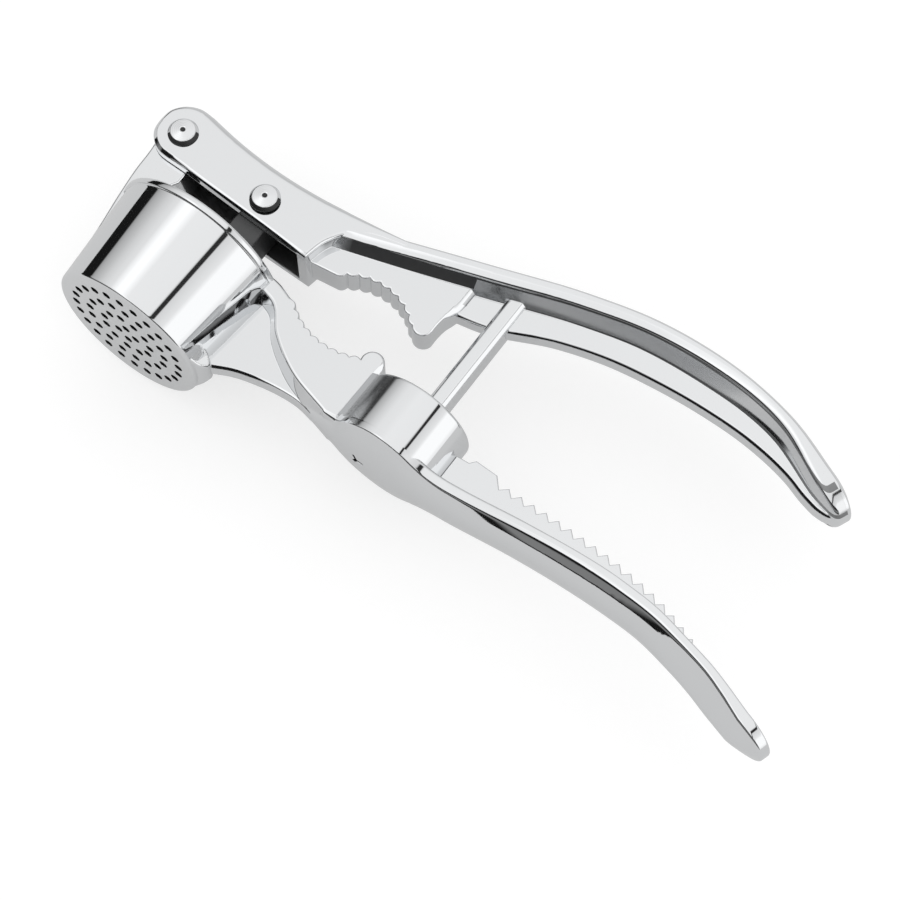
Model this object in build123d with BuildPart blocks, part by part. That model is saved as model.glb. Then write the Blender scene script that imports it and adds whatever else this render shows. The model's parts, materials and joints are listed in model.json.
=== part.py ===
from build123d import *
import os
from math import pi

os.makedirs("parts", exist_ok=True)

# All sizes in mm. The tool lies on its side: x runs along the handles towards their tips,
# y runs across the tool from the sieve towards the upper arm, z is the hinge axis.
# Side views are drawn from the hinge axis, on the middle plane of the tool.

# garlic cup and sieve
cup_x = 17.1
cup_mouth_y = -16.0
cup_depth = 23.5
cup_foot_r = 17.4
cup_top_r = 19.5
cup_wall = 1.5
cup_foot_bevel = 0.6
bead_over = 0.5
bead_h = 1.7
bead_bevel = 0.4
sieve_t = 2.0
hole_r = 1.0
hole_pitch = 3.5
hole_margin = 1.6
ring_n = 4
ring_in_r = 2.2
cup_foot_y = cup_mouth_y - cup_depth - sieve_t
cup_bead_r = cup_top_r + bead_over
bore_foot_r = cup_foot_r - cup_wall
bore_top_r = cup_top_r - cup_wall

# place of the hinge axis; the tool rests on the bead of its cup
hinge_x = -83.26
hinge_y = 9.69
mid_z = cup_bead_r

# rivets
pin_r = 2.5
pin_run = 0.04
head_over = 0.8
head_h = 1.4
head_bevel = 0.65
head_side_h = 0.35
head_slope = 0.3
dimple_r = 0.7
dimple_h = 0.3
head_r = pin_r + head_over
plunger_pin_x = 23.6
plunger_pin_y = -2.7

# clevis of the upper arm, with the ear of the lower arm and the lug of the plunger in it
cheek_half = 7.4
cheek_t = 2.3
cheek_wall = 3.5
ear_wall = 3.0
lug_wall = 1.1
side_gap = 0.3
roof_gap = 0.8
neck_half = 6.6
channel_end_x = 36.0
slot_half = cheek_half - cheek_t
ear_half = slot_half - side_gap
cheek_r = pin_r + cheek_wall
ear_r = pin_r + ear_wall
lug_r = pin_r + lug_wall
roof_y = plunger_pin_y + lug_r + roof_gap

# both handles have a crowned flange with a web on the inner side; their lengths run from the
# pitter cup's axis to the round end, and their lines are drawn by shares of that length
lower_handle = 88.0
upper_handle = 77.0
flange_half = 7.1
flange_crown = 2.3
flange_rim = 2.1
upper_draft = 3.6
lower_draft = 1.4
rim_bevel = 0.6
upper_web_t = 4.0
lower_web_t = 3.2
crown_r = (flange_half**2 + flange_crown**2) / (2 * flange_crown)
flange_low = -flange_crown - flange_rim

# nutcracker jaws
upper_jaw_t = 6.6
lower_jaw_t = 13.0
jaw_tooth_h = 0.55
jaw_teeth = 9
jaw_back_round = 1.6

# gusset between the cup and the lower jaw
pad_half = 5.0
pad_h = 4.5
pad_out = 1.8
gusset_t = 3.8

# pitter cup and rod
pit_x = 76.7
pit_r = 12.0
pit_wall = 2.5
pit_mouth_y = -21.0
pit_depth = 11.6
pit_floor_t = 2.6
pit_dome = 1.8
pit_lip = 0.5
slot_shift = 4.6
slot_w = 1.0
slot_l = 2.4
rod_shift = 1.85
rod_w = 4.1
rod_dip = 0.6
rod_bevel = 0.8
rod_top_y = 10.5
pit_floor_y = pit_mouth_y - pit_depth
pit_foot_y = pit_floor_y - pit_floor_t
rod_x = pit_x + rod_shift
dome_r = (pit_r**2 + pit_dome**2) / (2 * pit_dome)

# fish scaler teeth on the lower web
tooth_n = 17
tooth_h = 1.45

# plunger
disc_gap = 1.1
disc_t = 1.8
disc_lift = 3.7
disc_shift = 0.4
hub_r = 7.0
hub_h = 4.0
disc_r = bore_foot_r - disc_gap
disc_x = cup_x + disc_shift
disc_y = cup_foot_y + sieve_t + disc_lift

side = Plane(origin=(hinge_x, hinge_y, mid_z))
plan = Plane(origin=(hinge_x, hinge_y, mid_z), x_dir=(1, 0, 0), z_dir=(0, -1, 0))


def y_axis(x):
    """Line across the tool at distance x from the hinge, on the middle plane."""
    return Axis((hinge_x + x, hinge_y, mid_z), (0, 1, 0))


def cross_plane(x, y):
    """Plane square to the cup's axis, at x and y from the hinge, facing the upper arm."""
    return Plane(origin=(hinge_x + x, hinge_y + y, mid_z), x_dir=(1, 0, 0), z_dir=(0, 1, 0))


def scallops(start, middle, end, count, height):
    """Row of rounded teeth along an arc; they stand out by height on the hollow side."""
    base = ThreePointArc(start, middle, end, mode=Mode.PRIVATE)
    centre = base.arc_center
    for i in range(count):
        a = base @ (i / count)
        b = base @ ((i + 1) / count)
        m = base @ ((i + 0.5) / count)
        inward = (centre - m).normalized()
        ThreePointArc(a, m + inward * height, b)


def run(length, *points):
    """Points of a handle, given as shares of its length from the pitter cup's axis and heights."""
    return [(pit_x + length * share, y) for share, y in points]


def crown_y(x):
    """Height of the crowned flange face at distance x from the middle plane."""
    return (crown_r**2 - x**2) ** 0.5 - crown_r


def flange_section(left, draft):
    """Section of a handle flange from left to its rim: crown at the origin, web side below."""
    middle = (left + flange_half) / 2
    with BuildSketch() as section:
        with BuildLine():
            crown = ThreePointArc((left, crown_y(left)), (middle, crown_y(middle)),
                                  (flange_half, crown_y(flange_half)))
            rim = Polyline(crown @ 1, (flange_half, flange_low), (0, flange_low - draft))
            if left < 0:
                Polyline(rim @ 1, (left, flange_low), crown @ 0)
            else:
                Line(rim @ 1, crown @ 0)
        make_face()
        chamfer([v for v in vertices() if abs(v.X) > flange_half - 0.01], rim_bevel)
    return section.sketch


def rivet_section():
    """Half section of a rivet from its middle to the turned head with a centre dimple."""
    top = cheek_half + head_h
    edge = top - head_slope
    with BuildSketch() as section:
        with BuildLine():
            Polyline((0, 0), (pin_r, 0), (pin_r, cheek_half), (head_r, cheek_half),
                     (head_r, cheek_half + head_side_h), (head_r - head_bevel, edge), (dimple_r, top),
                     (0, top - dimple_h), close=True)
        make_face()
    return section.sketch


# Lower jaw: a thick plate with scalloped teeth, a round nub and a rounded back.
jaw_in_x = cup_x + bore_top_r + 0.4
with BuildPart() as lower_jaw:
    with BuildSketch(side):
        with BuildLine():
            l1 = Spline((jaw_in_x, cup_mouth_y), (jaw_in_x + 1.5, cup_mouth_y - 0.2), (42, -17.9))
            scallops(l1 @ 1, (54, -22.6), (61.4, -20.7), jaw_teeth, jaw_tooth_h)
            l2 = ThreePointArc((61.4, -20.7), (63.9, -17.4), (66.3, -20.2))
            l3 = Polyline(l2 @ 1, (65.4, -35), (62.5, -34.6))
            l4 = Spline(l3 @ 1, (51.2, -30.9), (43.8, -26), (39, -20.8), (jaw_in_x, cup_mouth_y - 3.6))
            Line(l4 @ 1, l1 @ 0)
        make_face()
    extrude(amount=lower_jaw_t / 2, both=True)
    fillet(edges().filter_by(GeomType.BSPLINE).sort_by(SortBy.LENGTH)[-2:], jaw_back_round)

# Lower arm: cup with sieve, hinge ear, lower jaw, pitter cup and toothed handle in one casting.
with BuildPart() as lower_arm:
    # crowned flange of the handle, drawn along its outer line, with a round end
    with BuildLine(side) as lower_line:
        Spline((50, -34.4), (60, -36.4), (75, -37.2),
               *run(lower_handle, (0.17, -36.9), (0.38, -35.5), (0.57, -34.7), (0.69, -35.45),
                    (0.79, -37.65), (0.9, -40.4), (1, -42.8)))
    lower_start = Plane(origin=lower_line.line @ 0, x_dir=(0, 0, 1), z_dir=lower_line.line % 0)
    lower_end = Plane(origin=lower_line.line @ 1, x_dir=(0, 0, 1), z_dir=lower_line.line % 1)
    with BuildSketch(lower_start):
        add(flange_section(-flange_half, lower_draft))
    sweep(path=lower_line.line)
    with BuildSketch(lower_end):
        add(flange_section(0, lower_draft))
    revolve(axis=Axis(lower_end.origin, -lower_end.y_dir), revolution_arc=180)
    # the flange runs out to the width of the gusset in front of the jaw
    lower_end_x = pit_x + lower_handle + 2 * flange_half
    with BuildSketch(plan):
        with BuildLine():
            l1 = Polyline((48, 0), (lower_end_x, 0), (lower_end_x, 2 * flange_half), (67, 2 * flange_half),
                          (67, flange_half))
            l2 = Spline(l1 @ 1, (62, 5.3), (56, 2.9), (48, gusset_t / 2))
            Line(l2 @ 1, l1 @ 0)
        make_face()
        mirror(about=Plane.XZ)
    extrude(amount=80, both=True, mode=Mode.INTERSECT)
    # gusset plate between the cup and the jaw
    wall_x = cup_x + bore_foot_r
    pad_x = cup_x + cup_foot_r + pad_out
    with BuildSketch(side):
        with BuildLine():
            l1 = Polyline((wall_x, cup_mouth_y - bead_h), (wall_x, cup_foot_y + 2), (pad_x, -38.1))
            l2 = Spline(l1 @ 1, (46.8, -34.6), (58, -35))
            Polyline(l2 @ 1, (62, -34), (56, -30), (40, cup_mouth_y - bead_h), l1 @ 0)
        make_face()
    extrude(amount=gusset_t / 2, both=True)
    # pad that ties the gusset to the foot of the cup
    with BuildSketch(side):
        with BuildLine():
            Polyline((cup_x, cup_foot_y + cup_foot_bevel), (pad_x - 3, cup_foot_y + cup_foot_bevel),
                     (pad_x, cup_foot_y + pad_h), (cup_x, cup_foot_y + pad_h), close=True)
        make_face()
    extrude(amount=pad_half, both=True)
    add(lower_jaw.part)
    # outside of the garlic cup with its rim bead
    with BuildSketch(side):
        with BuildLine():
            Polyline((cup_x, cup_mouth_y), (cup_x, cup_foot_y),
                     (cup_x + cup_foot_r - cup_foot_bevel, cup_foot_y),
                     (cup_x + cup_foot_r, cup_foot_y + cup_foot_bevel),
                     (cup_x + cup_top_r, cup_mouth_y - bead_h),
                     (cup_x + cup_bead_r, cup_mouth_y - bead_h + bead_bevel),
                     (cup_x + cup_bead_r, cup_mouth_y - bead_bevel),
                     (cup_x + cup_bead_r - bead_bevel, cup_mouth_y), close=True)
        make_face()
    revolve(axis=y_axis(cup_x))
    # hinge ear, which runs out down the side of the cup
    with BuildSketch(side):
        Circle(ear_r)
        with BuildLine():
            l1 = Spline((-ear_r, 0), (-4.4, -6), (-4, -11.5), (-3.1, -17.9), (cup_x - cup_foot_r, -35))
            Polyline(l1 @ 1, (cup_x - bore_foot_r + 1, -35), (cup_x - bore_top_r + 2, cup_mouth_y),
                     (ear_r, -9), (ear_r, 0), l1 @ 0)
        make_face()
    extrude(amount=ear_half, both=True)
    # pitter cup on a round swelling of the flange
    with BuildSketch(side):
        with BuildLine():
            l1 = Polyline((pit_x, pit_mouth_y), (pit_x + pit_r - pit_lip, pit_mouth_y),
                          (pit_x + pit_r, pit_mouth_y - pit_lip), (pit_x + pit_r, pit_foot_y))
            dome_y = pit_foot_y - pit_dome + dome_r
            l2 = ThreePointArc(l1 @ 1, (pit_x + pit_r / 2, dome_y - (dome_r**2 - pit_r**2 / 4) ** 0.5),
                               (pit_x, dome_y - dome_r))
            Line(l2 @ 1, l1 @ 0)
        make_face()
    revolve(axis=y_axis(pit_x))
    # web with the fish scaler teeth
    with BuildSketch(side):
        with BuildLine():
            tips = Spline(*run(lower_handle, (0.275, -24.85), (0.435, -24.8), (0.605, -25.7), (0.72, -27.5),
                               (0.81, -30.2)), mode=Mode.PRIVATE)
            teeth = []
            for i in range(tooth_n - 1):
                teeth.append(tips @ (i / (tooth_n - 1)))
                teeth.append(tips @ ((i + 0.5) / (tooth_n - 1)) - Vector(0, tooth_h, 0))
            hook = run(lower_handle, (0.08, -33), (0.08, -25.3), (0.165, -24.9), (0.175, -23.7),
                       (0.235, -23.9), (0.258, -26.2))
            root = run(lower_handle, (0.83, -33.5), (0.58, -31), (0.27, -33))
            Polyline(*hook, *teeth, tips @ 1, *root, close=True)
        make_face()
    extrude(amount=lower_web_t / 2, both=True)
    # inside of the garlic cup
    with BuildSketch(side):
        with BuildLine():
            Polyline((cup_x, cup_mouth_y), (cup_x, cup_foot_y + sieve_t),
                     (cup_x + bore_foot_r, cup_foot_y + sieve_t), (cup_x + bore_top_r, cup_mouth_y),
                     close=True)
        make_face()
    revolve(axis=y_axis(cup_x), mode=Mode.SUBTRACT)
    # sieve holes in rings
    ring_step = (bore_foot_r - hole_margin - hole_r - ring_in_r) / (ring_n - 1)
    with BuildSketch(cross_plane(cup_x, cup_foot_y)):
        for i in range(ring_n):
            ring_r = ring_in_r + i * ring_step
            with PolarLocations(ring_r, round(2 * pi * ring_r / hole_pitch)):
                Circle(hole_r)
    extrude(amount=sieve_t, mode=Mode.SUBTRACT)
    # inside of the pitter cup and the three-armed slot in its floor
    with BuildSketch(cross_plane(pit_x, pit_floor_y)):
        Circle(pit_r - pit_wall)
    extrude(amount=pit_depth, mode=Mode.SUBTRACT)
    with BuildSketch(cross_plane(pit_x - slot_shift, pit_floor_y)):
        with PolarLocations(0, 3):
            Rectangle(slot_l, slot_w, align=(Align.MIN, Align.CENTER))
    extrude(amount=-2 * (pit_floor_t + pit_dome), mode=Mode.SUBTRACT)
    # hinge hole
    with BuildSketch(side):
        Circle(pin_r + pin_run)
    extrude(amount=cheek_half, both=True, mode=Mode.SUBTRACT)
lower_arm.part.label = "lower_arm"
export_step(lower_arm.part, "parts/lower_arm.step")

# Upper jaw: a plate with scalloped teeth and a nub, bevelled down to the web behind it.
with BuildPart() as upper_jaw:
    with BuildSketch(side):
        with BuildLine():
            l1 = Line((38, -7.6), (44.5, -6.9))
            scallops(l1 @ 1, (55.3, -2.95), (64.2, -7.2), jaw_teeth, jaw_tooth_h)
            l2 = ThreePointArc((64.2, -7.2), (66.4, -8.3), (68.5, -6.4))
            l3 = Polyline(l2 @ 1, (68.8, -0.9), (70.2, 0.5), (70.2, 9))
            l4 = Spline(l3 @ 1, (54, 5.8), (38, 2))
            Line(l4 @ 1, l1 @ 0)
        make_face()
    extrude(amount=upper_jaw_t / 2, both=True)
    end_face = faces().sort_by(Axis.X)[-1]
    chamfer(end_face.edges().filter_by(Axis.Y), (upper_jaw_t - upper_web_t) / 2 - 0.05)

# Upper arm: clevis, upper jaw, pitter rod and handle in one casting.
with BuildPart() as upper_arm:
    # clevis block with rounded end and hollow towards the jaw
    with BuildSketch(side):
        with BuildLine():
            l1 = Spline((54, 6.6), (40, 5.0), (24, 3.95), (10, 4.7), (1.5, cheek_r - 0.18))
            l2 = ThreePointArc(l1 @ 1, (-cheek_r, 0), (0.3, 0.01 - cheek_r))
            l3 = Spline(l2 @ 1, (11, -6.6), (38.4, -8.3), tangents=(l2 % 1, (1, -0.06)))
            l4 = Spline(l3 @ 1, (40.6, -1.2), (46, 2.8), (54, 4.9))
            Line(l4 @ 1, l1 @ 0)
        make_face()
    extrude(amount=cheek_half, both=True)
    # crowned flange of the handle with a round end
    with BuildLine(side) as upper_line:
        Spline((36, 3.6), (50, 7.7), (70, 13.9),
               *run(upper_handle, (0.17, 20.1), (0.37, 23.2), (0.5, 23.8), (0.69, 22.6), (0.82, 20.2),
                    (1, 14.4)))
    upper_start = Plane(origin=upper_line.line @ 0, x_dir=(0, 0, -1), z_dir=upper_line.line % 0)
    upper_end = Plane(origin=upper_line.line @ 1, x_dir=(0, 0, -1), z_dir=upper_line.line % 1)
    with BuildSketch(upper_start):
        add(flange_section(-flange_half, upper_draft))
    sweep(path=upper_line.line)
    with BuildSketch(upper_end):
        add(flange_section(0, upper_draft))
    revolve(axis=Axis(upper_end.origin, -upper_end.y_dir), revolution_arc=180)
    # seen from below, the clevis narrows to a neck before the handle
    upper_end_x = pit_x + upper_handle + 2 * flange_half
    with BuildSketch(plan):
        with BuildLine():
            Polyline((-2 * cheek_r, 0), (-2 * cheek_r, cheek_half), (26, cheek_half), (40, neck_half),
                     (54, flange_half), (58, 2 * flange_half), (upper_end_x, 2 * flange_half),
                     (upper_end_x, 0), close=True)
        make_face()
        mirror(about=Plane.XZ)
    extrude(amount=80, both=True, mode=Mode.INTERSECT)
    # web of the handle
    with BuildSketch(side):
        with BuildLine():
            low = run(upper_handle, (0.18, 7.85), (0.31, 10.5), (0.45, 11.8), (0.59, 12.5), (0.74, 12),
                      (0.88, 10.1), (0.98, 8.2))
            top = run(upper_handle, (0.98, 12), (0.82, 17), (0.5, 20.6), (0.17, 17))
            l1 = Spline((66, 0), (75.5, 1.8), *low)
            l2 = Line(l1 @ 1, top[0])
            l3 = Spline(*top, (66, 9.5))
            Line(l3 @ 1, l1 @ 0)
        make_face()
    extrude(amount=upper_web_t / 2, both=True)
    add(upper_jaw.part)
    # pitter rod, as thick as the jaw, with bevelled edges
    with BuildSketch(cross_plane(rod_x, pit_mouth_y - rod_dip)):
        Rectangle(rod_w, upper_jaw_t)
        chamfer(vertices(), rod_bevel)
    extrude(amount=rod_top_y - pit_mouth_y + rod_dip)
    # channel between the cheeks, open at the top above the ear
    with BuildSketch(side):
        Circle(ear_r + side_gap)
        with BuildLine():
            Polyline((-9, -14), (channel_end_x, -14), (channel_end_x, roof_y), (4.5, roof_y), (4.5, 9),
                     (-9, 9), close=True)
        make_face()
    extrude(amount=slot_half, both=True, mode=Mode.SUBTRACT)
    # rivet holes
    with BuildSketch(side):
        with Locations((0, 0), (plunger_pin_x, plunger_pin_y)):
            Circle(pin_r)
    extrude(amount=cheek_half + 1, both=True, mode=Mode.SUBTRACT)
upper_arm.part.label = "upper_arm"
export_step(upper_arm.part, "parts/upper_arm.step")

# Plunger: flat disc with a lug that hangs on the second rivet.
with BuildPart() as plunger:
    with BuildSketch(side):
        with BuildLine():
            Polyline((disc_x, disc_y + hub_h), (disc_x, disc_y), (disc_x + disc_r, disc_y),
                     (disc_x + disc_r, disc_y + disc_t), (disc_x + hub_r, disc_y + hub_h), close=True)
        make_face()
    revolve(axis=y_axis(disc_x))
    with BuildSketch(side):
        with Locations((plunger_pin_x, plunger_pin_y)):
            Circle(lug_r)
        with BuildLine():
            Polyline((plunger_pin_x - lug_r, plunger_pin_y), (plunger_pin_x + lug_r, plunger_pin_y),
                     (plunger_pin_x + lug_r, -14), (disc_x + hub_r - 0.5, disc_y + disc_t),
                     (disc_x - hub_r + 0.5, disc_y + disc_t), (plunger_pin_x - lug_r, -20), close=True)
        make_face()
    extrude(amount=ear_half, both=True)
    with BuildSketch(side):
        with Locations((plunger_pin_x, plunger_pin_y)):
            Circle(pin_r + pin_run)
    extrude(amount=cheek_half, both=True, mode=Mode.SUBTRACT)
plunger.part.label = "plunger"
export_step(plunger.part, "parts/plunger.step")

# Hinge rivet through the cheeks and the ear, with a turned head on each side.
with BuildPart() as hinge_rivet:
    with BuildSketch(plan):
        add(rivet_section())
    revolve(axis=Axis((hinge_x, hinge_y, mid_z), (0, 0, 1)))
    mirror(about=Plane.XY.offset(mid_z))
hinge_rivet.part.label = "hinge_rivet"
export_step(hinge_rivet.part, "parts/hinge_rivet.step")

# Plunger rivet through the cheeks and the lug, the same as the hinge rivet.
with BuildPart() as plunger_rivet:
    with BuildSketch(Plane(plan.origin + (plunger_pin_x, plunger_pin_y, 0), plan.x_dir, plan.z_dir)):
        add(rivet_section())
    revolve(axis=Axis((hinge_x + plunger_pin_x, hinge_y + plunger_pin_y, mid_z), (0, 0, 1)))
    mirror(about=Plane.XY.offset(mid_z))
plunger_rivet.part.label = "plunger_rivet"
export_step(plunger_rivet.part, "parts/plunger_rivet.step")
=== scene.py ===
import json
import math

import bmesh
import bpy
import numpy as np
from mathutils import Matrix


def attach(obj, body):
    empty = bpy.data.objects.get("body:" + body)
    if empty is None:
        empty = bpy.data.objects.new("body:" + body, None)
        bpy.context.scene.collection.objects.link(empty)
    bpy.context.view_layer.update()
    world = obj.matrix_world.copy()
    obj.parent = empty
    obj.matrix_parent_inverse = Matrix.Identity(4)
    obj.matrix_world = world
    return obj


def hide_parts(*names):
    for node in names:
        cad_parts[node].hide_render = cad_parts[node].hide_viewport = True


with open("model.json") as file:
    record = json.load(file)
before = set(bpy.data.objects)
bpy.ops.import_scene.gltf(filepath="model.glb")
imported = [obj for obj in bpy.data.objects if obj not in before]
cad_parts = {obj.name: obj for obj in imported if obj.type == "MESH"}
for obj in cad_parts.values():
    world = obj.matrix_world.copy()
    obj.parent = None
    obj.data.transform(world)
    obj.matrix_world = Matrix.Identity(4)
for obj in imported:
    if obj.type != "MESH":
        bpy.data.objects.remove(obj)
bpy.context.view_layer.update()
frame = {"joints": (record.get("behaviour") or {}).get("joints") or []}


# Lower arm: sieve cup, hinge ear, jaw, pitter cup and toothed handle in one zinc die casting.
# The casting is polished and plated with bright chrome, so its edges are soft all round.
# Inside the bore and down the sieve holes the colour is painted dark as shade, and the metal is rougher.
hinge = np.array(frame["joints"][0]["pos_m"])


def smooth_line(points, count):
    """Line through points: cubics in chord length, with central differences as their slopes."""
    points = np.asarray(points, float)
    reach = np.concatenate(((0.0,), np.cumsum(np.linalg.norm(np.diff(points, axis=0), axis=1))))
    slope = np.gradient(points, reach, axis=0)
    place = np.linspace(0.0, reach[-1], count)
    i = np.clip(np.searchsorted(reach, place, side="right") - 1, 0, len(points) - 2)
    step = (reach[i + 1] - reach[i])[:, None]
    t = (place[:, None] - reach[i][:, None]) / step
    return ((1 + 2 * t) * (1 - t) ** 2 * points[i] + t * (1 - t) ** 2 * step * slope[i]
            + t**2 * (3 - 2 * t) * points[i + 1] + t**2 * (t - 1) * step * slope[i + 1])


def faired(x, stops):
    """Smooth run of a size along x, through (x, size) stops."""
    return np.interp(x, *smooth_line(stops, 600).T)


def toothed_arc(start, middle, end, teeth=1, height=0.0, per_tooth=12):
    """Arc through three points; each equal step of it bulges towards the centre as a parabola."""
    a, b, c = (np.asarray(p, float) for p in (start, middle, end))
    centre = np.linalg.solve(2 * np.array((b - a, c - a)), np.array((b @ b - a @ a, c @ c - a @ a)))
    turn = np.unwrap([math.atan2(*(p - centre)[::-1]) for p in (a, b, c)])
    share = np.linspace(0.0, 1.0, teeth * per_tooth + 1)
    part = (share * teeth) % 1.0
    radius = np.linalg.norm(a - centre) - 4 * height * part * (1 - part)
    sweep = turn[0] + (turn[2] - turn[0]) * share
    return centre + radius[:, None] * np.stack((np.cos(sweep), np.sin(sweep)), axis=1)


def eased(before, corner, after, size, share=1.0, steps=8):
    """Soft corner: a parabola that leaves one side at the given distance from the corner and meets
    the other at a share of that distance."""
    towards = before - corner
    onwards = after - corner
    towards = towards / np.linalg.norm(towards, axis=-1, keepdims=True)
    onwards = onwards / np.linalg.norm(onwards, axis=-1, keepdims=True)
    t = np.linspace(0.0, 1.0, steps)[:, None]
    size = np.asarray(size)[..., None, None]
    corner, towards, onwards = (p[..., None, :] for p in (corner, towards, onwards))
    return corner + size * ((1 - t) ** 2 * towards + share * t**2 * onwards)


def soft_profile(points, sizes):
    """Line of corners, in which each corner with a size is eased by that much."""
    points = np.asarray(points, float)
    rows = [eased(points[i - 1], points[i], points[i + 1], size) if size else points[i:i + 1]
            for i, size in enumerate(sizes)]
    return np.concatenate(rows)


def prism(x, y, z):
    """Stack of rings: x, y and z each given along the stack, round the ring or both."""
    return np.stack(np.broadcast_arrays(x, y, z), axis=-1)


def skin(rings, start_cap=True, end_cap=True):
    """Closed mesh over a stack of rings in mm from the hinge: quads between rings and end faces."""
    rows, columns, _ = rings.shape
    here = np.arange(columns)
    after = (here + 1) % columns
    low = np.arange(rows - 1)[:, None] * columns
    quads = np.stack((low + here, low + after, low + columns + after, low + columns + here), axis=-1)
    faces = quads.reshape(-1, 4).tolist()
    if start_cap:
        faces.append(here[::-1].tolist())
    if end_cap:
        faces.append((here + (rows - 1) * columns).tolist())
    mesh = bpy.data.meshes.new("skin")
    mesh.from_pydata((rings.reshape(-1, 3) * 0.001 + hinge).tolist(), [], faces)
    work = bmesh.new()
    work.from_mesh(mesh)
    bmesh.ops.remove_doubles(work, verts=work.verts, dist=2e-7)
    bmesh.ops.dissolve_degenerate(work, edges=work.edges, dist=1e-7)
    bmesh.ops.recalc_face_normals(work, faces=work.faces)
    work.to_mesh(mesh)
    work.free()
    return mesh


def plate(outline, half, edge, draft=0.0, flat=0.0, steps=8):
    """Flat casting: an outline of the side view at both faces, drawn in along its normals by a
    quarter circle of radius edge towards each face, or a straight bevel where flat is 1, and
    standing out by draft on the middle plane. Sizes are single or one for each point."""
    keep = np.linalg.norm(np.roll(outline, -1, axis=0) - outline, axis=1) > 1e-3
    edge, draft, flat = (np.broadcast_to(size, keep.shape)[keep] for size in (edge, draft, flat))
    outline = outline[keep]
    onwards = np.roll(outline, -1, axis=0) - outline
    onwards /= np.linalg.norm(onwards, axis=1, keepdims=True)
    after = np.roll(outline, -1, axis=0)
    area = np.sum(outline[:, 0] * after[:, 1] - after[:, 0] * outline[:, 1])
    inner = np.stack((-onwards[:, 1], onwards[:, 0]), axis=1) * np.sign(area)
    last = np.roll(inner, 1, axis=0)
    inward = (inner + last) / np.maximum(1 + np.sum(inner * last, axis=1), 0.5)[:, None]
    share = np.linspace(0.0, 1.0, steps)[:, None]
    turn = share * math.pi / 2
    drawn = edge * ((1 - flat) * (1 - np.cos(turn)) + flat * share)
    height = half - edge * ((1 - flat) * (1 - np.sin(turn)) + flat * (1 - share))
    near = np.concatenate((outline + drawn[..., None] * inward, height[..., None]), axis=-1)
    far = near[::-1] * np.array((1.0, 1.0, -1.0))
    middle = np.concatenate((outline - draft[:, None] * inward, 0 * outline[:, :1]), axis=1)
    return np.concatenate((far, middle[None], near))


def turned(profile, x, steps=160):
    """Round piece about a line across the tool at x: each (radius, y) of the profile is a ring."""
    angle = np.linspace(0.0, 2 * math.pi, steps, endpoint=False)
    radius, y = profile[:, :1], profile[:, 1:]
    return prism(x + radius * np.cos(angle), y, radius * np.sin(angle))


def handle_flange(line, inner, half, sizes):
    """Flange of a handle along its crown line. Across, it falls from the crown as a parabola, or
    as a hyperbola where keel is 1, to a rim with soft corners and slopes to the web; at the tip
    each half of the section turns through a quarter of a long ellipse. Sizes holds drop, rim,
    draft, outer corner, inner corner and keel for each point; inner is 1 or -1, the side of the
    line that the web is on."""
    crown_share, tip_stretch = 0.75, 1.3
    blunt, crest, rise = 0.02, 0.1414, 0.8686  # the hyperbola's square, its crest and rise to the rim
    along = np.gradient(line, axis=0)
    along /= np.linalg.norm(along, axis=1, keepdims=True)
    turn = np.linspace(0.0, math.pi / 2, 15)[1:]
    row = np.minimum(np.arange(len(line) + len(turn)), len(line) - 1)
    turn = np.concatenate((np.zeros(len(line)), turn))[:, None]
    line, along, half = line[row], along[row], half[row]
    drop, rim, draft, outer_corner, inner_corner, keel = sizes[row].T
    across = np.linspace(-crown_share, crown_share, 25)
    fall = across**2 + keel[:, None] * ((np.sqrt(across**2 + blunt) - crest) / rise - across**2)
    crown = np.stack((half[:, None] * across, drop[:, None] * fall), axis=-1)
    shoulder = crown[:, -1]
    top = np.stack((half, drop), axis=-1)
    low = np.stack((half, drop + rim), axis=-1)
    ridge = np.stack((0 * half, drop + rim + draft), axis=-1)
    right = np.concatenate((eased(shoulder, top, low, outer_corner, 0.4),
                            eased(top, low, ridge, inner_corner)), axis=1)
    left = right[:, ::-1] * np.array((-1.0, 1.0))
    section = np.concatenate((crown, right, ridge[:, None], left), axis=1)
    wide, deep = section[..., 0], section[..., 1]
    square = np.stack((-along[:, 1], along[:, 0]), axis=1) * inner
    spot = (line[:, None] + deep[..., None] * square[:, None]
            + (tip_stretch * np.abs(wide) * np.sin(turn))[..., None] * along[:, None])
    return np.concatenate((spot, (wide * np.cos(turn))[..., None]), axis=-1)


def drilled(centre, radius, low, high, axis, steps=48):
    """Round bar to cut a hole with, from low to high along axis 1 (across) or 2 (through)."""
    angle = np.linspace(0.0, 2 * math.pi, steps, endpoint=False)
    first = centre[0] + radius * np.cos(angle)
    second = centre[1] + radius * np.sin(angle)
    ends = np.array(((low,), (high,)))
    return prism(first, ends, second) if axis == 1 else prism(first, second, ends)


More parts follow.
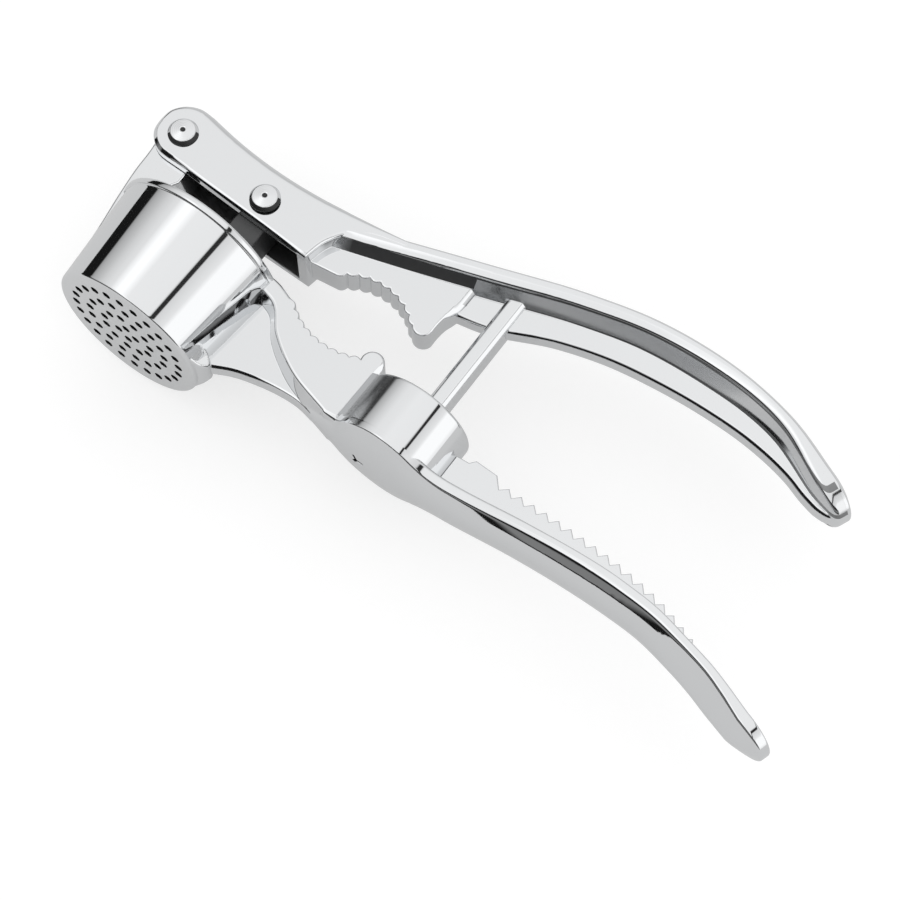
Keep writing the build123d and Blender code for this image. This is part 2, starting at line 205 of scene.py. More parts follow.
def cast(name, shells, cuts):
    """One piece: the union of its closed shells less the cuts, with flats that shade flat."""
    weld, speck, flat_turn, sharp_turn = 2e-6, 1e-6, 0.004, math.radians(32)
    piece = bpy.data.objects.new(name, shells[0])
    bpy.context.scene.collection.objects.link(piece)
    tools = []
    for operation, mesh in [("UNION", m) for m in shells[1:]] + [("DIFFERENCE", m) for m in cuts]:
        tool = bpy.data.objects.new("tool", mesh)
        bpy.context.scene.collection.objects.link(tool)
        tools.append(tool)
        joint = piece.modifiers.new("joint", "BOOLEAN")
        joint.operation = operation
        joint.solver = "MANIFOLD"
        joint.object = tool
    ready = piece.evaluated_get(bpy.context.evaluated_depsgraph_get())
    work = bmesh.new()
    work.from_mesh(ready.to_mesh())
    bmesh.ops.remove_doubles(work, verts=work.verts, dist=weld)
    bmesh.ops.dissolve_degenerate(work, edges=work.edges, dist=speck)
    bmesh.ops.dissolve_limit(work, angle_limit=flat_turn, verts=work.verts, edges=work.edges)
    mesh = bpy.data.meshes.new(name)
    work.to_mesh(mesh)
    work.free()
    piece.modifiers.clear()
    piece.data = mesh
    for tool in tools:
        bpy.data.objects.remove(tool)
    mesh.polygons.foreach_set("use_smooth", np.ones(len(mesh.polygons), dtype=bool))
    mesh.set_sharp_from_angle(angle=sharp_turn)
    flat = piece.modifiers.new("flat", "WEIGHTED_NORMAL")
    flat.keep_sharp = True
    return piece


class Value:
    """A shader socket; operators on it add Math nodes, and node() adds any other node."""

    def __init__(self, tree, socket):
        self.tree = tree
        self.socket = socket

    def node(self, kind, settings, sockets, out=0):
        """Adds a node: its settings first, then the values or links of its sockets."""
        made = self.tree.nodes.new(kind)
        for name, value in settings.items():
            setattr(made, name, value)
        for name, value in sockets.items():
            if isinstance(value, Value):
                self.tree.links.new(value.socket, made.inputs[name])
            else:
                made.inputs[name].default_value = value
        return Value(self.tree, made.outputs[out])

    def math(self, operation, a, b=0.0):
        """Adds a Math node for one or two values."""
        return self.node("ShaderNodeMath", {"operation": operation}, {0: a, 1: b})

    def __add__(self, other):
        return self.math("ADD", self, other)

    def __radd__(self, other):
        return self.math("ADD", other, self)

    def __sub__(self, other):
        return self.math("SUBTRACT", self, other)

    def __rsub__(self, other):
        return self.math("SUBTRACT", other, self)

    def __mul__(self, other):
        return self.math("MULTIPLY", self, other)

    def __rmul__(self, other):
        return self.math("MULTIPLY", other, self)

    def __truediv__(self, other):
        return self.math("DIVIDE", self, other)

    def __rtruediv__(self, other):
        return self.math("DIVIDE", other, self)

    def __gt__(self, other):
        return self.math("GREATER_THAN", self, other)

    def __lt__(self, other):
        return self.math("LESS_THAN", self, other)


def held(value, low, high):
    """The value, but never under low or over high."""
    return value.math("MAXIMUM", value.math("MINIMUM", value, high), low)


def chrome_plate(name, dull_and_shade_where):
    """Bright chrome with faint smears and a slow ripple of the casting under it. The mask function takes
    x, y and z in mm from the hinge and gives, from 0 for plated to 1, how rough the metal is and how far
    its colour goes to a dark one, unplated metal and also painted shade; a plain number is the same all
    over."""
    # The second colour is dark: unplated metal, and painted shade where the masks ask for it.
    plated, bare_and_shade = (0.80, 0.81, 0.82, 1.0), (0.03, 0.03, 0.03, 1.0)
    material = bpy.data.materials.new(name)
    material.use_nodes = True
    tree = material.node_tree
    shader = tree.nodes["Principled BSDF"]
    shader.inputs["Metallic"].default_value = 1.0
    place = Value(tree, tree.nodes.new("ShaderNodeTexCoord").outputs["Object"])
    split = tree.nodes.new("ShaderNodeSeparateXYZ")
    tree.links.new(place.socket, split.inputs[0])
    x, y, z = ((Value(tree, split.outputs[i]) - float(hinge[i])) * 1000.0 for i in range(3))
    dull_and_shade = dull_and_shade_where(x, y, z)
    if isinstance(dull_and_shade, Value):
        colour = place.node("ShaderNodeMix", {"data_type": "RGBA"}, {0: dull_and_shade, 6: plated, 7: bare_and_shade}, 2)
        tree.links.new(colour.socket, shader.inputs["Base Color"])
    else:
        shader.inputs["Base Color"].default_value = np.array(plated) * (1 - dull_and_shade) + np.array(bare_and_shade) * dull_and_shade
    smear = place.node("ShaderNodeTexNoise", {}, {"Vector": place, "Scale": 90.0, "Detail": 3.0})
    gloss = (0.03 + smear * 0.03) * (1 - dull_and_shade) + dull_and_shade * 0.6
    edge = place.node("ShaderNodeBevel", {"samples": 8}, {"Radius": 0.00025})
    ripple = place.node("ShaderNodeTexNoise", {}, {"Vector": place, "Scale": 60.0, "Detail": 1.0})
    waved = place.node("ShaderNodeBump", {},
                       {"Strength": 0.02, "Distance": 0.001, "Height": ripple, "Normal": edge})
    tree.links.new(gloss.socket, shader.inputs["Roughness"])
    tree.links.new(waved.socket, shader.inputs["Normal"])
    return material


cup_x, cup_mouth, cup_foot, sieve = 17.1, -16.0, -41.5, 2.0
wall_foot, wall_top, bead_r, bead_foot = 17.4, 19.5, 20.0, cup_mouth - 1.7
bore_foot, bore_top = 15.9, 18.0
cup = turned(soft_profile(
    [(0, cup_foot), (wall_foot, cup_foot), (wall_top, bead_foot), (bead_r, bead_foot),
     (bead_r, cup_mouth), (0, cup_mouth)], (0, 0.8, 0.35, 0.5, 0.8, 0)), cup_x)
bore = turned(soft_profile(
    [(0, cup_foot + sieve), (bore_foot, cup_foot + sieve), (bore_top, cup_mouth - 0.4),
     (bore_top + 0.5, cup_mouth + 0.1), (0, cup_mouth + 0.1)], (0, 0.6, 0.3, 0, 0)), cup_x)
hole_r, hole_pitch, first_ring, sieve_margin = 1.0, 3.5, 2.2, 1.6
ring_step = (bore_foot - sieve_margin - hole_r - first_ring) / 3
ring_radius = first_ring + ring_step * np.arange(4)
ring_holes = np.round(2 * math.pi * ring_radius / hole_pitch).astype(int)
holes = [drilled((cup_x + r * math.cos(2 * math.pi * i / n), r * math.sin(2 * math.pi * i / n)),
                 hole_r, cup_foot - 1, cup_foot + sieve + 1, 1, 20)
         for r, n in zip(ring_radius, ring_holes) for i in range(n)]
ear_r, ear_half = 5.5, 4.8
ear = plate(np.concatenate((
    toothed_arc((-ear_r, 0), (0, ear_r), (ear_r, 0), per_tooth=40),
    [(ear_r, -9.0), (cup_x - bore_top + 2, cup_mouth), (cup_x - bore_foot + 1, -35.0)],
    smooth_line([(cup_x - wall_foot, -35), (-1.6, -26.5), (-3.1, -17.9), (-4.0, -11.5), (-4.4, -6),
                 (-ear_r, 0)], 40))), ear_half, 0.6)
jaw_in, jaw_half, jaw_draft = cup_x + bore_top + 0.4, 6.5, 1.5
tooth_count, tooth_height = 9, 0.55
jaw_top = smooth_line([(jaw_in, cup_mouth), (jaw_in + 1.5, -16.2), (42, -17.9)], 14)
jaw_teeth = toothed_arc((42, -17.9), (54, -22.6), (61.4, -20.7), tooth_count, tooth_height)
jaw_nub = toothed_arc((61.4, -20.7), (63.9, -17.4), (66.3, -20.2), per_tooth=30)
jaw_end = np.array([(66.3, -22.6), (66.1, -34.9)])
jaw_back = smooth_line([(62.5, -34.6), (51.2, -30.9), (43.8, -26), (39, -20.8),
                        (jaw_in, cup_mouth - 3.6)], 50)
jaw_front = len(jaw_top) + len(jaw_teeth) + len(jaw_nub)
jaw = plate(
    np.concatenate((jaw_top, jaw_teeth, jaw_nub, jaw_end, jaw_back)), jaw_half,
    np.concatenate((np.full(len(jaw_top), 0.8), np.full(len(jaw_teeth), 0.4),
                    np.linspace(0.5, 0.9, len(jaw_nub)), (1.1, 1.1), np.full(len(jaw_back), 0.7))),
    np.concatenate((np.zeros(jaw_front + 2), np.linspace(0.0, jaw_draft, 10),
                    np.full(len(jaw_back) - 10, jaw_draft))),
    np.concatenate((np.zeros(jaw_front - 8), np.linspace(0, 1, 8), (1, 1), np.zeros(len(jaw_back)))))
gusset_low = smooth_line([(cup_x + wall_foot + 1.8, -38.1), (40.2, -36.3), (45.5, -34.9), (50, -34.2),
                          (55.5, -34.1), (59, -34.8)], 40)
gusset_half, gusset_edge = 1.9, 0.45
gusset = plate(
    np.concatenate((
        [(cup_x + bore_foot, bead_foot), (cup_x + bore_foot, cup_foot + 2)], gusset_low,
        [(62.0, -34.0), (56.0, -30.0), (40.0, bead_foot)])), gusset_half,
    np.concatenate((np.full(2, gusset_edge), np.linspace(0.6, gusset_edge, len(gusset_low)),
                    np.full(3, gusset_edge))), 0.0,
    np.concatenate((np.zeros(2), np.interp(np.arange(len(gusset_low)), (14, 34), (1, 0)), np.zeros(3))))
pad_half, pad_foot, pad_top = 5.0, cup_foot + 0.6, cup_foot + 5.0
pad = plate(np.concatenate((
    [(cup_x, pad_foot)],
    smooth_line([(33.4, pad_foot), (35.6, cup_foot + 1.7), (36.4, cup_foot + 3.1),
                 (35.6, cup_foot + 4.3), (34.0, pad_top)], 24),
    [(cup_x, pad_top)])), pad_half, 0.4)
# Wide where it leaves the cup, the pad narrows to the gusset.
pad[..., 2] *= np.interp(pad[..., 0], (30, 33, 36.4), (1.45, 1.35, 0.5))
pit_x, pit_mouth, pit_floor, pit_foot = 76.7, -21.0, -32.6, -35.2
boss_r, pit_r = 12.0, 9.5
boss = turned(soft_profile(
    [(0, pit_foot - 1.0), (8.0, pit_foot - 0.4), (boss_r, pit_foot + 1.0), (boss_r, pit_mouth),
     (0, pit_mouth)], (0, 0, 0.5, 0.8, 0)), pit_x)
pit_bore = turned(np.array([
    (0, pit_floor), (pit_r, pit_floor), (pit_r, pit_mouth - 0.4), (pit_r + 0.5, pit_mouth + 0.1),
    (0, pit_mouth + 0.1)]), pit_x)
slot_x = pit_x - 4.6
slot_out, slot_side = np.array([(0.0, -0.4), (1.7, -0.4), (1.7, 0.4), (0.0, 0.4)]).T
slot_ends = np.array(((pit_floor + 1,), (pit_foot - 4,)))
slots = [prism(slot_x + slot_out * math.cos(a) - slot_side * math.sin(a), slot_ends,
               slot_out * math.sin(a) + slot_side * math.cos(a))
         for a in np.radians((0.0, 120.0, 240.0))]
lower_line = smooth_line([
    (46, -31.2), (50, -32.7), (53.3, -33.7), (57, -34.6), (62.4, -35.7), (66, -36.4), (70, -36.9),
    (75, -37.2), (92, -36.9), (110, -35.5), (120, -35.1), (131, -35.2), (138.5, -35.75), (146, -37.5),
    (153, -39.5), (158, -41.3), (163.4, -43.05)], 220)
along_x = lower_line[:, 0]
lower_half = faired(along_x, [
    (46, 1.7), (50, 2.0), (53, 2.5), (57, 3.1), (62.4, 4.6), (65, 6.0), (67, 7.9), (69, 9.6), (72, 11.2),
    (76.7, 12.05), (81.4, 11.1), (84.4, 9.4), (87, 8.2), (90, 7.4), (95, 7.1), (130, 7.1), (150, 6.9),
    (160, 6.4), (166.2, 5.7)])
lower_sizes = np.stack((
    faired(along_x, [(46, 1.0), (57, 1.5), (66, 1.8), (72, 2.3), (90, 2.2), (102, 2.6), (110, 3.0),
                     (117, 3.3), (128, 3.4), (138, 3.3), (147, 3.5), (154, 3.6), (158, 3.45), (162, 3.0),
                     (166.2, 2.5)]),
    faired(along_x, [(46, 2.0), (72, 2.1), (102, 2.0), (117, 1.65), (128, 1.8), (138, 1.8), (150, 1.7),
                     (158, 2.0), (166.2, 2.6)]),
    faired(along_x, [(46, 1.8), (72, 1.8), (102, 1.4), (118, 1.2), (140, 0.8), (166.2, 0.5)]),
    faired(along_x, [(46, 0.6), (72, 0.75), (102, 0.95), (140, 0.95), (166.2, 0.9)]),
    faired(along_x, [(46, 0.5), (72, 0.7), (102, 0.7), (118, 0.5), (166.2, 0.5)]),
    faired(along_x, [(46, 0), (132, 0), (140, 0.15), (148, 0.75), (153, 0.95), (158, 0.95), (166.2, 0.7)])),
    axis=1)
flange = handle_flange(lower_line, 1.0, lower_half, lower_sizes)
saw_depth, web_half = 1.45, 1.6
saw = smooth_line([(101, -24.85), (115, -24.8), (130, -25.7), (140, -27.5), (148, -30.2)], 33)
saw[1::2, 1] -= saw_depth
web = plate(np.concatenate((
    [(84.0, -33.0), (84.0, -25.3), (91.2, -24.9), (92.2, -23.7), (97.4, -23.9), (99.4, -26.2)], saw,
    [(150.0, -33.5), (128.0, -31.0), (100.0, -33.0)])), web_half, 0.35)
running_bore, drill = 2.54, 9.0
lower_arm = cast(
    "lower_arm_casting",
    [skin(cup, False, False), skin(ear), skin(jaw), skin(gusset), skin(pad), skin(boss, False, False),
     skin(flange, True, False), skin(web)],
    [skin(bore, False, False), skin(pit_bore, False, False),
     skin(drilled((0, 0), running_bore, -drill, drill, 2))]
    + [skin(s) for s in slots] + [skin(h) for h in holes])


def lower_dull_and_shade(x, y, z):
    """Painted shade: inside the tapered bore the colour is painted darker and the metal is rougher, in
    the holes of the sieve it is painted near black, and in the narrow gap between the jaw and the pitter
    cup it is painted darker and is rougher."""
    taper = (bore_top - bore_foot) / (cup_mouth - cup_foot - sieve)
    # Painted shade: the inside of the bore is painted darker, and the sieve holes near black.
    reach = bore_foot + 0.1 + (y - cup_foot - sieve) * taper
    within = (x - cup_x) * (x - cup_x) + z * z < reach * reach
    inside = within * (y > cup_foot + 0.06) * (y < cup_mouth - 0.5)
    out = (x - pit_x) * (x - pit_x) + z * z
    near_wall = (out > boss_r**2 - 3.0) * (out < boss_r**2 + 3.0)
    on_boss = near_wall * (y > pit_foot + 0.6) * (y < pit_mouth - 0.2)
    # Painted shade in the gap beside the jaw: the boss wall there is painted darker, and is rougher too.
    beside_jaw = held((72.0 - x) * 0.2, 0.0, 0.35)
    return inside * (0.65 + 0.35 * (y < cup_foot + sieve - 0.05)) + on_boss * beside_jaw


lower_arm.data.materials.append(chrome_plate("lower_arm_chrome", lower_dull_and_shade))
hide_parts("lower_arm")
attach(lower_arm, "lower")


# Plunger: a flat round presser on a lug, cast in the same zinc and plated.
# It hangs on the second rivet between the cheeks and swings free in the cup.
# The plunger's colour is painted dark all over as shade, where it sits in the cup and between the cheeks;
# it is rougher too.
disc_x, disc_y, disc_r, plunger_dull_and_shade = 17.5, -35.8, 14.8, 0.88
pin_x, pin_y, lug_r, lug_half = 23.6, -2.7, 3.6, 4.8
disc = turned(soft_profile(
    [(0, disc_y), (disc_r, disc_y), (disc_r, disc_y + 1.8), (7.0, disc_y + 4.0), (0, disc_y + 4.0)],
    (0, 0.3, 0.4, 0.6, 0)), disc_x)
lug = plate(np.concatenate((
    toothed_arc((pin_x - lug_r, pin_y), (pin_x, pin_y + lug_r), (pin_x + lug_r, pin_y), per_tooth=30),
    [(pin_x + lug_r, -14.0), (disc_x + 6.5, disc_y + 1.8), (disc_x - 6.5, disc_y + 1.8),
     (pin_x - lug_r, -20.0)])), lug_half, 0.5)
plunger = cast("plunger_casting", [skin(disc, False, False), skin(lug)],
               [skin(drilled((pin_x, pin_y), running_bore, -drill, drill, 2))])
plunger.data.materials.append(chrome_plate("plunger_chrome", lambda x, y, z: plunger_dull_and_shade))
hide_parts("plunger")
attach(plunger, "plunger")


# Upper arm: clevis, upper jaw, pitter rod and handle in one zinc die casting, plated as the lower.
# The channel between the cheeks takes the ear and the lug; it is hidden and stays dull inside.
clevis_half, clevis_bevel, clevis_edge = 7.4, 2.2, 0.8
clevis_top = smooth_line([(54, 6.5), (47, 6.0), (40, 5.6), (24, 4.7), (10, 5.9), (2.5, 7.3)], 60)
clevis_end = smooth_line([(2.5, 7.3), (-1, 7.3), (-4, 5.8), (-5.9, 3.1), (-6.2, 0), (-5.7, -2.7),
                          (-3.9, -4.9), (-1.6, -6.1), (0.3, -6.35)], 70)
clevis_low = smooth_line([(0.3, -6.35), (5, -6.5), (11, -6.95), (25, -7.9), (38.4, -8.6)], 50)
clevis_step = smooth_line([(38.4, -8.6), (39.6, -3.2), (42.2, 0.8), (46, 3.0), (54, 5.2)], 40)
clevis = plate(
    np.concatenate((clevis_top, clevis_end, clevis_low, clevis_step)), clevis_half,
    np.concatenate((np.interp(clevis_top[:, 0], (34, 54), (clevis_bevel, 0.4)),
                    np.linspace(clevis_bevel, clevis_edge, 40),
                    np.full(len(clevis_end) - 40 + len(clevis_low), clevis_edge),
                    np.interp(clevis_step[:, 0], (42, 54), (clevis_edge, 0.3)))), 0.0,
    np.concatenate((np.zeros(len(clevis_top) + 30), np.linspace(0, 1, 15),
                    np.ones(len(clevis_end) - 45), np.interp(clevis_low[:, 0], (1, 6), (1.0, 0.0)),
                    np.zeros(len(clevis_step)))))
# The cheeks draw in to the neck and widen again to the handle.
clevis[..., 2] *= np.interp(clevis[..., 0], (26, 40, 54), (1.0, 6.6 / clevis_half, 7.1 / clevis_half))
upper_line = smooth_line([(36, 3.6), (50, 7.7), (70, 13.9), (90, 20.1), (105, 23.2), (115, 23.8),
                          (130, 22.6), (140, 20.2), (152.5, 14.85)], 150)
along_x = upper_line[:, 0]
upper_half = faired(along_x, [(36, 6.6), (42, 6.7), (54, 7.1), (100, 7.1), (140, 7.0), (153.6, 6.3)])
upper_sizes = np.stack((
    faired(along_x, [(36, 2.3), (80, 2.3), (117, 2.3), (140, 2.1), (153.6, 1.9)]),
    faired(along_x, [(36, 2.6), (80, 2.6), (100, 2.35), (120, 2.1), (140, 2.2), (152.5, 3.7)]),
    faired(along_x, [(36, 3.3), (80, 3.3), (100, 3.6), (118, 3.9), (130, 3.4), (142, 2.6), (153.6, 1.4)]),
    np.full(len(along_x), 0.75),
    np.full(len(along_x), 1.4),
    np.zeros(len(along_x))), axis=1)
upper_flange = handle_flange(upper_line, -1.0, upper_half, upper_sizes)
upper_keel = smooth_line([(66, -0.3), (75.5, 1.4), (90.6, 7.5), (100.5, 10.1), (111.4, 11.5), (122.4, 12.0),
                          (134, 11.4), (144.4, 9.2), (149.5, 7.3), (153.5, 6.4), (156, 6.6),
                          (157.5, 7.6)], 90)
upper_root = smooth_line([(154, 11.5), (140, 17), (115, 20.6), (90, 17), (66, 9.5)], 60)
upper_web_half, upper_jaw_half = 2.0, 3.3
upper_web = plate(
    np.concatenate((upper_keel, upper_root)), upper_web_half,
    np.concatenate((np.full(len(upper_keel), 0.6), np.full(len(upper_root), 0.4))), 0.0,
    np.concatenate((np.full(len(upper_keel), 0.9), np.zeros(len(upper_root)))))
upper_teeth = toothed_arc((44.5, -6.9), (55.3, -2.95), (64.2, -7.2), tooth_count, tooth_height)
upper_nub = toothed_arc((64.2, -7.2), (66.4, -8.3), (68.5, -6.4), per_tooth=24)
upper_back = smooth_line([(68.5, -6.4), (68.5, -4), (68.8, -1.9), (69.6, -0.3), (70.3, 1.5), (70.5, 5),
                          (70.5, 9)], 40)
upper_top = smooth_line([(70.5, 9), (54, 5.8), (38, 2)], 30)
upper_front = 1 + len(upper_teeth) + len(upper_nub)
upper_jaw = plate(
    np.concatenate(([(38.0, -7.6)], upper_teeth, upper_nub, upper_back, upper_top)), upper_jaw_half,
    np.concatenate(([0.3], np.full(len(upper_teeth), 0.4), np.linspace(0.5, 0.4, len(upper_nub)),
                    np.interp(upper_back[:, 1], (-2.2, 0.6), (0.4, 1.4)), np.full(len(upper_top), 0.3))),
    0.0, np.concatenate((np.zeros(upper_front), np.full(len(upper_back), 0.7), np.zeros(len(upper_top)))))
rod_x, rod_tip, rod_root = 78.55, -21.6, 10.5
rod_wide, rod_deep, rod_bevel = 2.05, 3.3, 0.85
rod_ring = np.array([(rod_wide, -rod_deep + rod_bevel), (rod_wide, rod_deep - rod_bevel),
                     (rod_wide - rod_bevel, rod_deep), (rod_bevel - rod_wide, rod_deep),
                     (-rod_wide, rod_deep - rod_bevel), (-rod_wide, rod_bevel - rod_deep),
                     (rod_bevel - rod_wide, -rod_deep), (rod_wide - rod_bevel, -rod_deep)])
rod_section = np.concatenate([
    eased(rod_ring[i - 1], rod_ring[i], rod_ring[(i + 1) % 8], 0.3) for i in range(8)])
rod_shrink = np.array((0.8, 0.93, 1.0, 1.0))[:, None]
rod_y = np.array((rod_tip, rod_tip + 0.15, rod_tip + 0.6, rod_root))[:, None]
rod = prism(rod_x + rod_shrink * rod_section[:, 0], rod_y, rod_shrink * rod_section[:, 1])
channel_half, channel_end, channel_top, ear_room, tight_bore = 5.1, 36.0, 1.7, 5.8, 2.5
channel_x, channel_y = np.array([
    (-9.0, -14.0), (channel_end, -14.0), (channel_end, channel_top), (4.5, channel_top), (4.5, 9.0),
    (-9.0, 9.0)]).T
channel = prism(channel_x, channel_y, np.array(((-channel_half,), (channel_half,))))
upper_arm = cast(
    "upper_arm_casting",
    [skin(clevis), skin(upper_flange, True, False), skin(upper_web), skin(upper_jaw), skin(rod)],
    [skin(channel), skin(drilled((0, 0), ear_room, -channel_half, channel_half, 2)),
     skin(drilled((0, 0), tight_bore, -drill, drill, 2)),
     skin(drilled((pin_x, pin_y), tight_bore, -drill, drill, 2))])


def upper_dull_and_shade(x, y, z):
    """The channel is darker and rougher; the deep corner between jaw and flange is painted near black as
    shade; under the flange the metal is rougher and painted darker towards the jaw as shade, with dark
    painted shade along both corners."""
    side = z.math("ABSOLUTE", z)
    in_channel = (side < channel_half + 0.05) * (x < channel_end + 0.1) * (y < channel_top + 0.1)
    # Painted shade: the deep corner beside the jaw, under the flange, is painted near black.
    start = held((x - 40.6) * 0.3, 0.0, 1.0)
    beside_jaw = (side > upper_jaw_half + 0.05) * (side < 6.2)
    in_corner = beside_jaw * start * (x < 69.8) * (y < 4.2 + (x - 50) * 0.31)
    rim = 20.2 - (x - 115) * (x - 115) * 0.0058
    under = (side > upper_web_half + 0.05) * (side < 6.2) * (x > 69.8) * (y < rim) * (y > rim - 5.5)
    on_rod = (x > rod_x - rod_wide - 0.1) * (x < rod_x + rod_wide + 0.1) * (side < rod_deep + 0.05)
    # Painted shade under the flange: darker towards the jaw, fading towards the tip, with dark lines along
    # both corners; the roughness rises with it.
    satin_shade = held(0.9 - x * 0.006, 0.08, 0.3)
    crease_shade = 0.6 * ((side < 2.15 + (x - 70) * 0.009) + (side > 5.8))
    return 0.5 * in_channel + 0.92 * in_corner + (satin_shade + crease_shade) * under * (1 - on_rod)


upper_arm.data.materials.append(chrome_plate("upper_arm_chrome", upper_dull_and_shade))
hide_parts("upper_arm")
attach(upper_arm, "upper")


# Rivets: two turned steel pins, plated, with low heads that keep the rings of the lathe tool.
# The hinge rivet holds the ear in the clevis and the other carries the plunger.
def rivet(name, x, y, body):
    """Turned pin through the cheeks: (radius, height) rings about the hinge direction, mirrored;
    its face has shallow rings, a cosine of the radius, round a centre dimple."""
    head_r, shoulder_r, shoulder_z, crown = 3.3, 2.65, 8.5, 0.3
    ring_depth, ring_pitch = 0.012, 0.42
    face_r = np.linspace(2.5, 0.75, 60)
    face_z = (shoulder_z + crown * (shoulder_r - face_r) / 1.95
              + ring_depth * np.cos(2 * math.pi * face_r / ring_pitch))
    base, lip, shoulder, top = np.array((
        (head_r, clevis_half), (head_r, 7.75), (shoulder_r, shoulder_z), (0.7, shoulder_z + crown)))
    head = np.concatenate((
        [(tight_bore, clevis_half), base], eased(base, lip, shoulder, 0.2), eased(lip, shoulder, top, 0.14),
        np.stack((face_r, face_z), axis=1), [(0.55, 8.7), (0.3, 8.54), (0.0, 8.5)]))
    profile = np.concatenate((head[::-1] * np.array((1.0, -1.0)), head))
    angle = np.linspace(0.0, 2 * math.pi, 96, endpoint=False)
    radius, height = profile[:, :1], profile[:, 1:]
    rings = prism(x + radius * np.cos(angle), y + radius * np.sin(angle), height)
    pin = cast(name, [skin(rings, False, False)], [])
    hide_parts(name.replace("_turned", ""))
    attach(pin, body)

    def pin_dull_and_shade(at_x, at_y, at_z):
        """The shank is unplated steel; the head is dark in its dimple, and a crescent of painted shade
        darkens the low edge of the head on the side towards the camera.
        """
        off_axis = (at_x - x) * (at_x - x) + (at_y - y) * (at_y - y)
        height = at_z.math("ABSOLUTE", at_z)
        dimple = (off_axis < 0.3) * (height > 8.0)
        # Painted shade: a dark crescent round the low edge of the head, on the side towards the camera.
        shaded_side = (at_x - x) * 0.58 - (at_y - y) * 0.81 > 0.4
        return 0.6 * (height < 5.0) + 0.95 * (dimple + shaded_side * (off_axis > 7.6) * (height < 8.38))

    pin.data.materials.append(chrome_plate(name + "_steel", pin_dull_and_shade))


rivet("hinge_rivet_turned", 0.0, 0.0, "upper")
rivet("plunger_rivet_turned", pin_x, pin_y, "upper")


# Stage: a wide white table top that takes the shadow of the tool.
# It is matt, shows white to the camera and grey in the metal, and is no part of the tool.
def table_top(size):
    """A flat square sheet of the given side, centred under the tool, at height zero."""
    half = size / 2
    corners = np.array([(-half, -half, 0), (half, -half, 0), (half, half, 0), (-half, half, 0)])
    mesh = bpy.data.meshes.new("table_top")
    mesh.from_pydata(corners.tolist(), [], [(0, 1, 2, 3)])
    sheet = bpy.data.objects.new("table_top", mesh)
    bpy.context.scene.collection.objects.link(sheet)
    return sheet


table = table_top(6.0)
paper = bpy.data.materials.new("table_paper")
paper.use_nodes = True
tree = paper.node_tree
shader = tree.nodes["Principled BSDF"]
shader.inputs["Base Color"].default_value = (0.42, 0.42, 0.42, 1.0)
shader.inputs["Roughness"].default_value = 1.0
shader.inputs["Specular IOR Level"].default_value = 0.0
shader.inputs["Emission Strength"].default_value = 1.0
path = tree.nodes.new("ShaderNodeLightPath")
seen = Value(tree, path.outputs["Is Camera Ray"])
mirrored = Value(tree, path.outputs["Is Glossy Ray"])
tree.links.new((seen * 0.63 + mirrored * 0.26).socket, shader.inputs["Emission Color"])
table.data.materials.append(paper)


# Studio: white all round for the camera and the table. The metal sees an overhead softbox, a side
# softbox towards +X with a dark gap between them, and a dark room low down on the other sides.
world = bpy.data.worlds.new("studio")
bpy.context.scene.world = world
world.use_nodes = True
tree = world.node_tree
background = tree.nodes["Background"]
direction = Value(tree, tree.nodes.new("ShaderNodeTexCoord").outputs["Generated"])
split = tree.nodes.new("ShaderNodeSeparateXYZ")
tree.links.new(direction.socket, split.inputs[0])
dx, dy, dz = (Value(tree, split.outputs[i]) for i in range(3))
across = direction.math("ARCTAN2", dx, dz) * (180 / math.pi)


def ramp(value, stops):
    """Curve through (position, level) stops, straight between them, with positions in degrees."""
    low, high = stops[0][0], stops[-1][0]
    share = (value - low) / (high - low)
    made = value.tree.nodes.new("ShaderNodeValToRGB")
    points = made.color_ramp.elements
    while len(points) < len(stops):
        points.new(0.5)
    for point, (position, level) in zip(points, stops):
        point.position = (position - low) / (high - low)
        point.color = (level, level, level, 1.0)
    value.tree.links.new(share.socket, made.inputs[0])
    return Value(value.tree, made.outputs[0])


def fade(value, start, end):
    """0 below start and 1 above end, straight between them."""
    return value.node("ShaderNodeMapRange", {"clamp": True}, {0: value, 1: start, 2: end, 3: 0.0, 4: 1.0})


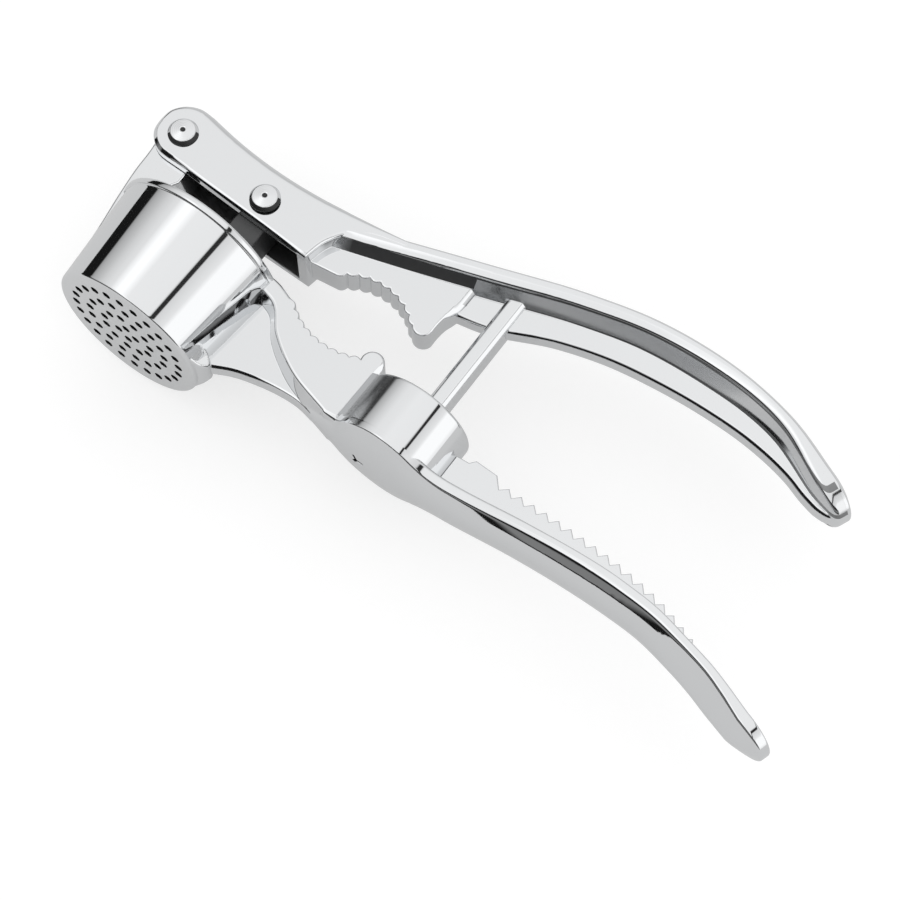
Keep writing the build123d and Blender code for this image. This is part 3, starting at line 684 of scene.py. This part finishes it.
softbox = ramp(across, [
    (-90, 0.01), (-72.5, 0.01), (-70.5, 0.38), (-66, 0.5), (-58, 0.62), (-50, 0.76), (-40, 0.88),
    (-33, 0.93), (-20, 0.95), (-8, 1.0), (28, 0.98), (30, 0.8), (30.8, 0.03), (36.0, 0.03), (36.8, 0.8),
    (51, 0.95), (57, 1.2), (81, 1.2), (90, 1.0)])
hot_spot = ramp(across, [(-36, 0.0), (-26, 0.3), (-18, 0.3), (-8, 0.0)]) * fade(dy, 0.3, 0.2)
back_wall = fade(dy, 0.45, 0.65) * fade(dz, 0.6, 0.4)
low_down = fade(dz - 0.26 * fade(dy, -0.3, -0.6), 0.27, 0.20)
dark_side = fade(dx * -0.6 + dy * -0.9, -0.35, -0.15)
room = low_down * dark_side
room_light = 0.01 + 0.22 * fade(dz, 0.06, 0.12) * fade(dz, 0.28, 0.22) * fade(dy, -0.3, -0.6)
behind = fade(dy, 0.5, 0.7)
lit = (softbox + hot_spot) * (1 - behind) + behind * 0.9
metal_sees = lit * (1 - 0.3 * back_wall) * (1 - room) + room * room_light
glossy = Value(tree, tree.nodes.new("ShaderNodeLightPath").outputs["Is Glossy Ray"])
level = glossy * metal_sees + (1 - glossy)
tree.links.new(level.socket, background.inputs["Color"])
background.inputs["Strength"].default_value = 1.0


# Camera at the photograph's view: a long lens that looks steeply down at the tool.
# It aims at a point beside the hinge, near the middle of the tool.
azimuth, elevation, distance = math.radians(35.6), math.radians(65.1), 0.5008
aim = hinge + np.array((0.086077, -0.024286, 0.0))
back = np.array((math.sin(azimuth) * math.cos(elevation), -math.cos(azimuth) * math.cos(elevation),
                 math.sin(elevation)))
lens = bpy.data.cameras.new("camera")
lens.lens = 100.0
lens.sensor_width = 36.0
camera = bpy.data.objects.new("camera", lens)
camera.location = aim + distance * back
camera.rotation_euler = (math.pi / 2 - elevation, 0.0, azimuth)
bpy.context.scene.collection.objects.link(camera)
bpy.context.scene.camera = camera
bpy.context.scene.view_settings.view_transform = "Standard"
